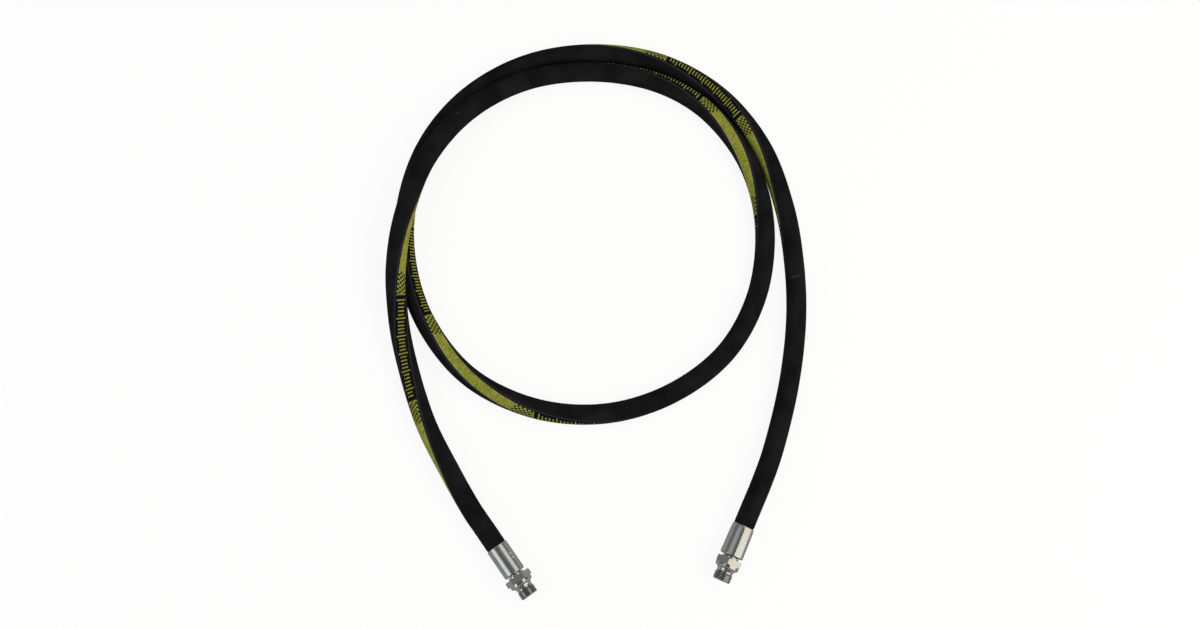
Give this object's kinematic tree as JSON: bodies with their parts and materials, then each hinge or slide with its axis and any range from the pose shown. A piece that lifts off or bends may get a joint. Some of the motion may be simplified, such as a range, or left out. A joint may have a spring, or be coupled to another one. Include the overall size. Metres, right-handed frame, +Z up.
{
  "type": "hydraulic hose assembly",
  "caption": "Wire-braided hydraulic hose lying in a loop, with a crimped ferrule and a hexagon insert with a male pipe thread and sealing collar at each end.",
  "frame": {"origin": "on the surface that the assembly lies on, under the middle of its outline", "axes": "+Z up, +Y from the two fittings towards the far side of the loop, +X from fitting B's side to fitting A's side"},
  "size_m": [0.3997, 0.5421, 0.0395],
  "materials": {
    "cover_rubber": "matt black oil-resistant synthetic rubber with a fine wrapped-cloth texture and a printed band",
    "tube_rubber": "smooth black nitrile rubber",
    "braid_wire": "braided high-tensile steel wire, brass-tinted grey",
    "zinc_plated_steel": "bright zinc-plated turned steel with a clear, slightly warm passivation"
  },
  "bodies": {
    "root": {"hose_cover": "cover_rubber", "outer_wire_braid": "braid_wire", "insulation_layer": "tube_rubber", "inner_wire_braid": "braid_wire", "hose_inner_tube": "tube_rubber", "ferrule_a": "zinc_plated_steel", "ferrule_b": "zinc_plated_steel", "insert_a": "zinc_plated_steel", "insert_b": "zinc_plated_steel"}
  },
  "joints": []
}
